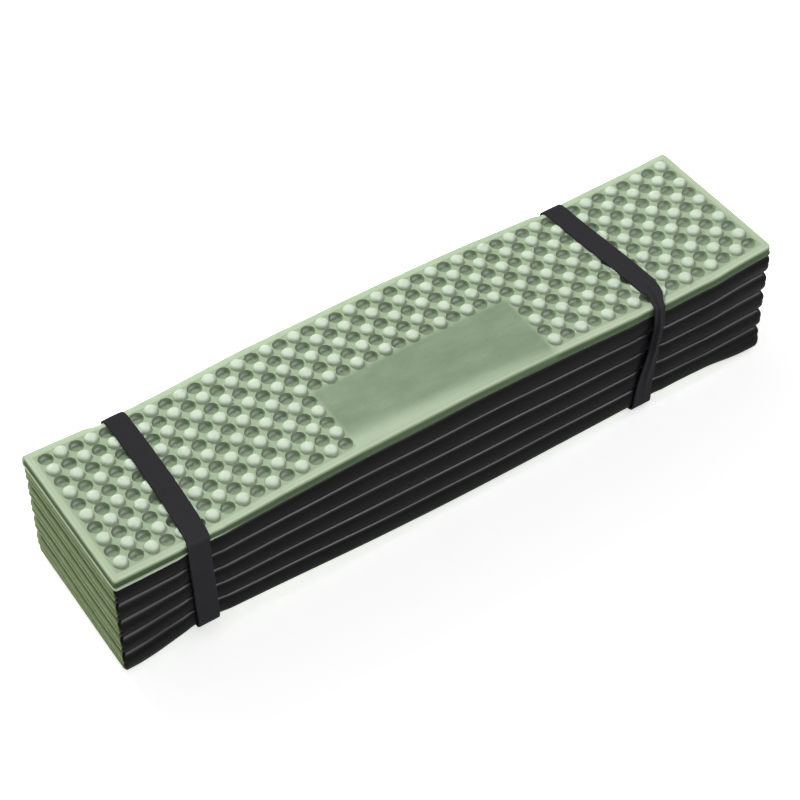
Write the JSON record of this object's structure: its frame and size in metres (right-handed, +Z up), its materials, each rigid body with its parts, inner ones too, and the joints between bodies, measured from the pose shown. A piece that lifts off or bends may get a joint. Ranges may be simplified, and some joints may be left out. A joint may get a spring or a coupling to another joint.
{
  "type": "folding foam sleeping pad",
  "caption": "Accordion-folding egg-crate foam sleeping pad, stowed as a flat bundle held by two elastic webbing loops; unfolds at its creases into a long flat mat.",
  "frame": {"origin": "centre of the folded stack's underside, on the surface it lies on", "axes": "+X along the stack's long side, +Y to the back (creases with green outside), +Z up through the stack"},
  "size_m": [0.57, 0.1449, 0.1068],
  "materials": {
    "green_foam": "matte",
    "black_foam": "matte",
    "crease_foam": "matte",
    "elastic_webbing": "matte",
    "thread": "satin"
  },
  "bodies": {
    "panel_12": {"panel_12_green_foam": "green_foam", "panel_12_black_base": "black_foam", "crease_11_12": "crease_foam"},
    "panel_11": {"panel_11_green_foam": "green_foam", "panel_11_black_base": "black_foam", "crease_10_11": "crease_foam"},
    "panel_10": {"panel_10_green_foam": "green_foam", "panel_10_black_base": "black_foam", "crease_09_10": "crease_foam"},
    "panel_09": {"panel_09_green_foam": "green_foam", "panel_09_black_base": "black_foam", "crease_08_09": "crease_foam"},
    "panel_08": {"panel_08_green_foam": "green_foam", "panel_08_black_base": "black_foam", "crease_07_08": "crease_foam"},
    "panel_07": {"panel_07_green_foam": "green_foam", "panel_07_black_base": "black_foam", "crease_06_07": "crease_foam"},
    "panel_06": {"panel_06_green_foam": "green_foam", "panel_06_black_base": "black_foam", "crease_05_06": "crease_foam"},
    "panel_05": {"panel_05_green_foam": "green_foam", "panel_05_black_base": "black_foam", "crease_04_05": "crease_foam"},
    "panel_04": {"panel_04_green_foam": "green_foam", "panel_04_black_base": "black_foam", "crease_03_04": "crease_foam"},
    "panel_03": {"panel_03_green_foam": "green_foam", "panel_03_black_base": "black_foam", "crease_02_03": "crease_foam"},
    "panel_02": {"panel_02_green_foam": "green_foam", "panel_02_black_base": "black_foam", "crease_01_02": "crease_foam"},
    "panel_01": {"panel_01_green_foam": "green_foam", "panel_01_black_base": "black_foam"},
    "left_strap": {"left_strap": "elastic_webbing", "left_strap_stitching": "thread"},
    "right_strap": {"right_strap": "elastic_webbing", "right_strap_stitching": "thread"}
  },
  "joints": [
    {"name": "unfold", "type": "hinge", "parent": "panel_12", "child": "panel_11", "pos_m": [0, 0.069, 0.00875], "axis": [-1, 0, 0], "range_deg": [0, 180]},
    {"name": "fold_10_11", "type": "hinge", "parent": "panel_11", "child": "panel_10", "pos_m": [0, -0.069, 0.0175], "axis": [1, 0, 0], "range_deg": [0, 180]},
    {"name": "fold_09_10", "type": "hinge", "parent": "panel_10", "child": "panel_09", "pos_m": [0, 0.069, 0.02625], "axis": [-1, 0, 0], "range_deg": [0, 180]},
    {"name": "fold_08_09", "type": "hinge", "parent": "panel_09", "child": "panel_08", "pos_m": [0, -0.069, 0.035], "axis": [1, 0, 0], "range_deg": [0, 180]},
    {"name": "fold_07_08", "type": "hinge", "parent": "panel_08", "child": "panel_07", "pos_m": [0, 0.069, 0.04375], "axis": [-1, 0, 0], "range_deg": [0, 180]},
    {"name": "fold_06_07", "type": "hinge", "parent": "panel_07", "child": "panel_06", "pos_m": [0, -0.069, 0.0525], "axis": [1, 0, 0], "range_deg": [0, 180]},
    {"name": "fold_05_06", "type": "hinge", "parent": "panel_06", "child": "panel_05", "pos_m": [0, 0.069, 0.06125], "axis": [-1, 0, 0], "range_deg": [0, 180]},
    {"name": "fold_04_05", "type": "hinge", "parent": "panel_05", "child": "panel_04", "pos_m": [0, -0.069, 0.07], "axis": [1, 0, 0], "range_deg": [0, 180]},
    {"name": "fold_03_04", "type": "hinge", "parent": "panel_04", "child": "panel_03", "pos_m": [0, 0.069, 0.07875], "axis": [-1, 0, 0], "range_deg": [0, 180]},
    {"name": "fold_02_03", "type": "hinge", "parent": "panel_03", "child": "panel_02", "pos_m": [0, -0.069, 0.0875], "axis": [1, 0, 0], "range_deg": [0, 180]},
    {"name": "fold_01_02", "type": "hinge", "parent": "panel_02", "child": "panel_01", "pos_m": [0, 0.069, 0.09625], "axis": [-1, 0, 0], "range_deg": [0, 180]},
    {"name": "left_strap_slide", "type": "slide", "parent": "panel_12", "child": "left_strap", "axis": [-1, 0, 0], "range_m": [0, 0.1], "deforming": ["left_strap", "left_strap_stitching"]},
    {"name": "right_strap_slide", "type": "slide", "parent": "panel_12", "child": "right_strap", "axis": [1, 0, 0], "range_m": [0, 0.147], "deforming": ["right_strap", "right_strap_stitching"]}
  ],
  "couplings": [
    {"joint": "fold_10_11", "follows": "unfold", "ratio": 1},
    {"joint": "fold_09_10", "follows": "unfold", "ratio": 1},
    {"joint": "fold_08_09", "follows": "unfold", "ratio": 1},
    {"joint": "fold_07_08", "follows": "unfold", "ratio": 1},
    {"joint": "fold_06_07", "follows": "unfold", "ratio": 1},
    {"joint": "fold_05_06", "follows": "unfold", "ratio": 1},
    {"joint": "fold_04_05", "follows": "unfold", "ratio": 1},
    {"joint": "fold_03_04", "follows": "unfold", "ratio": 1},
    {"joint": "fold_02_03", "follows": "unfold", "ratio": 1},
    {"joint": "fold_01_02", "follows": "unfold", "ratio": 1},
    {"joint": "left_strap_slide", "follows": "unfold", "m_per_rad": 0.031828},
    {"joint": "right_strap_slide", "follows": "unfold", "m_per_rad": 0.046787}
  ]
}
